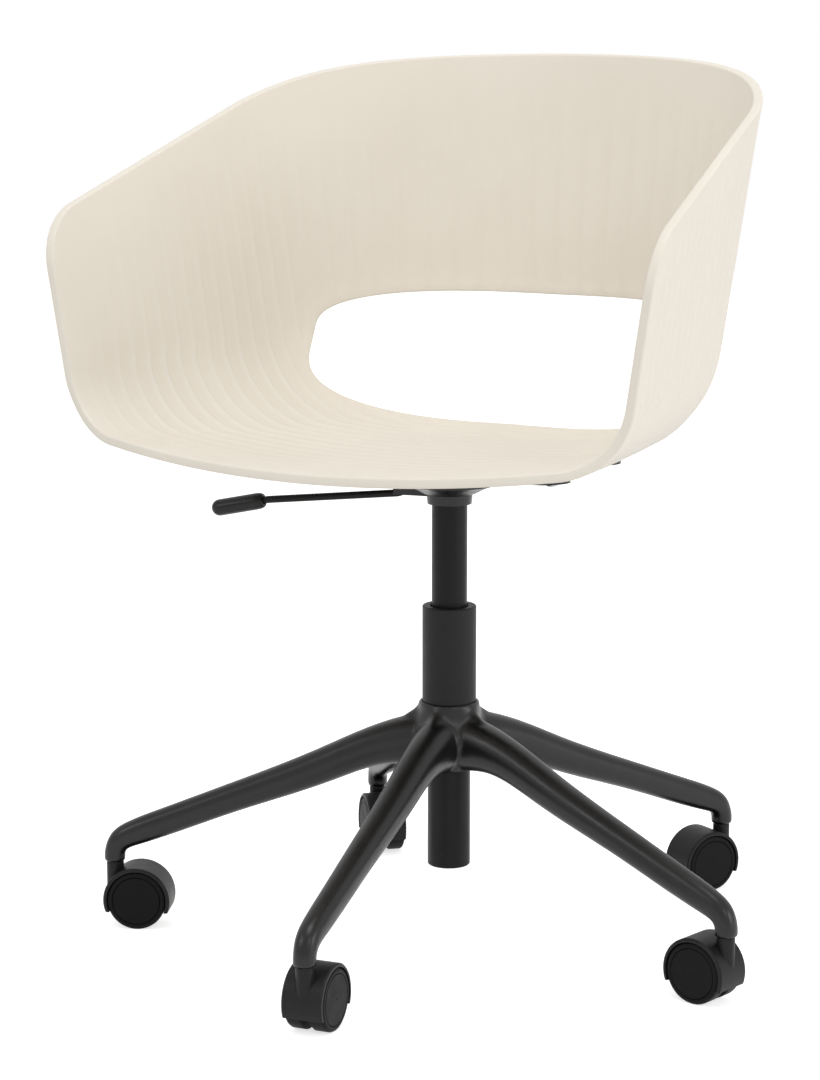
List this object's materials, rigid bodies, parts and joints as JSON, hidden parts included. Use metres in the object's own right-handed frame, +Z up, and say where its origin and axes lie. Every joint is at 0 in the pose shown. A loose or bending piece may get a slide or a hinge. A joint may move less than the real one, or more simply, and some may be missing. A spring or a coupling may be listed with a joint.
{
  "type": "office chair",
  "caption": "Swivel armchair with a one-piece ribbed tub shell open at the back, a gas lift with a release lever and a star base on hooded twin-wheel castors.",
  "frame": {"origin": "on the floor under the axis of the lift column", "axes": "+Z up, the sitter faces -Y, +X is the sitter's left"},
  "size_m": [0.6389, 0.627, 0.8288],
  "materials": {
    "shell": "fine matt cream moulding",
    "cast_black": "satin black powder coat",
    "black_metal": "satin black powder coat",
    "black_plastic": "satin black",
    "castor_plastic": "satin black nylon",
    "wheel_plastic": "matt black nylon",
    "bush_plastic": "natural black acetal",
    "rubber": "seal rubber",
    "steel": "bright drawn steel"
  },
  "bodies": {
    "base": {"base_star": "cast_black", "standpipe": "black_metal", "standpipe_foot": "steel", "guide_bush": "bush_plastic", "cover_sleeve": "black_plastic"},
    "lift_rod": {"piston_rod": "steel", "piston": "steel", "thrust_bearing": "steel", "rod_clip": "steel"},
    "seat": {"seat_shell": "shell", "seat_spider": "black_metal", "seat_screws": "steel", "gas_cylinder": "black_metal", "rod_seal": "rubber", "lever_pivot_pin": "steel"},
    "lever": {"lever_rod": "black_metal", "lever_grip": "black_plastic"},
    "valve": {"valve_pin": "steel"},
    "castor_1": {"castor_1_hood": "castor_plastic", "castor_1_stem": "steel", "castor_1_axle": "steel"},
    "castor_1_wheel_left": {"castor_1_wheel_left": "wheel_plastic"},
    "castor_1_wheel_right": {"castor_1_wheel_right": "wheel_plastic"},
    "castor_2": {"castor_2_hood": "castor_plastic", "castor_2_stem": "steel", "castor_2_axle": "steel"},
    "castor_2_wheel_left": {"castor_2_wheel_left": "wheel_plastic"},
    "castor_2_wheel_right": {"castor_2_wheel_right": "wheel_plastic"},
    "castor_3": {"castor_3_hood": "castor_plastic", "castor_3_stem": "steel", "castor_3_axle": "steel"},
    "castor_3_wheel_left": {"castor_3_wheel_left": "wheel_plastic"},
    "castor_3_wheel_right": {"castor_3_wheel_right": "wheel_plastic"},
    "castor_4": {"castor_4_hood": "castor_plastic", "castor_4_stem": "steel", "castor_4_axle": "steel"},
    "castor_4_wheel_left": {"castor_4_wheel_left": "wheel_plastic"},
    "castor_4_wheel_right": {"castor_4_wheel_right": "wheel_plastic"},
    "castor_5": {"castor_5_hood": "castor_plastic", "castor_5_stem": "steel", "castor_5_axle": "steel"},
    "castor_5_wheel_left": {"castor_5_wheel_left": "wheel_plastic"},
    "castor_5_wheel_right": {"castor_5_wheel_right": "wheel_plastic"}
  },
  "joints": [
    {"name": "seat_swivel", "type": "hinge", "parent": "base", "child": "lift_rod", "pos_m": [0, 0, 0.08], "axis": [0, 0, 1], "continuous": true},
    {"name": "seat_lift", "type": "slide", "parent": "lift_rod", "child": "seat", "axis": [0, 0, 1], "range_m": [-0.085, 0.02]},
    {"name": "lever_tilt", "type": "hinge", "parent": "seat", "child": "lever", "pos_m": [-0.03348, -0.0059, 0.43147], "axis": [-0.1736, 0.9848, 0], "range_deg": [0, 5], "stiffness_Nm_per_rad": 1.5},
    {"name": "valve_press", "type": "slide", "parent": "seat", "child": "valve", "axis": [0, 0, 1], "range_m": [-0.0035, 0]},
    {"name": "castor_1_swivel", "type": "hinge", "parent": "base", "child": "castor_1", "pos_m": [-0.29553, -0.12911, 0.063], "axis": [0, 0, 1], "continuous": true},
    {"name": "castor_1_left_roll", "type": "hinge", "parent": "castor_1", "child": "castor_1_wheel_left", "pos_m": [-0.27445, -0.1199, 0.0282], "axis": [0.4003, -0.9164, 0], "continuous": true},
    {"name": "castor_1_right_roll", "type": "hinge", "parent": "castor_1", "child": "castor_1_wheel_right", "pos_m": [-0.27445, -0.1199, 0.0282], "axis": [0.4003, -0.9164, 0], "continuous": true},
    {"name": "castor_2_swivel", "type": "hinge", "parent": "base", "child": "castor_2", "pos_m": [0.03147, -0.32096, 0.063], "axis": [0, 0, 1], "continuous": true},
    {"name": "castor_2_left_roll", "type": "hinge", "parent": "castor_2", "child": "castor_2_wheel_left", "pos_m": [0.02923, -0.29807, 0.0282], "axis": [0.9952, 0.0976, 0], "continuous": true},
    {"name": "castor_2_right_roll", "type": "hinge", "parent": "castor_2", "child": "castor_2_wheel_right", "pos_m": [0.02923, -0.29807, 0.0282], "axis": [0.9952, 0.0976, 0], "continuous": true},
    {"name": "castor_3_swivel", "type": "hinge", "parent": "base", "child": "castor_3", "pos_m": [0.31498, -0.06925, 0.063], "axis": [0, 0, 1], "continuous": true},
    {"name": "castor_3_left_roll", "type": "hinge", "parent": "castor_3", "child": "castor_3_wheel_left", "pos_m": [0.29251, -0.06431, 0.0282], "axis": [0.2147, 0.9767, 0], "continuous": true},
    {"name": "castor_3_right_roll", "type": "hinge", "parent": "castor_3", "child": "castor_3_wheel_right", "pos_m": [0.29251, -0.06431, 0.0282], "axis": [0.2147, 0.9767, 0], "continuous": true},
    {"name": "castor_4_swivel", "type": "hinge", "parent": "base", "child": "castor_4", "pos_m": [0.1632, 0.27816, 0.063], "axis": [0, 0, 1], "continuous": true},
    {"name": "castor_4_left_roll", "type": "hinge", "parent": "castor_4", "child": "castor_4_wheel_left", "pos_m": [0.15156, 0.25832, 0.0282], "axis": [-0.8625, 0.506, 0], "continuous": true},
    {"name": "castor_4_right_roll", "type": "hinge", "parent": "castor_4", "child": "castor_4_wheel_right", "pos_m": [0.15156, 0.25832, 0.0282], "axis": [-0.8625, 0.506, 0], "continuous": true},
    {"name": "castor_5_swivel", "type": "hinge", "parent": "base", "child": "castor_5", "pos_m": [-0.21412, 0.24116, 0.063], "axis": [0, 0, 1], "continuous": true},
    {"name": "castor_5_left_roll", "type": "hinge", "parent": "castor_5", "child": "castor_5_wheel_left", "pos_m": [-0.19885, 0.22397, 0.0282], "axis": [-0.7478, -0.6639, 0], "continuous": true},
    {"name": "castor_5_right_roll", "type": "hinge", "parent": "castor_5", "child": "castor_5_wheel_right", "pos_m": [-0.19885, 0.22397, 0.0282], "axis": [-0.7478, -0.6639, 0], "continuous": true}
  ],
  "couplings": [
    {"joint": "valve_press", "follows": "lever_tilt", "m_per_rad": -0.036}
  ]
}
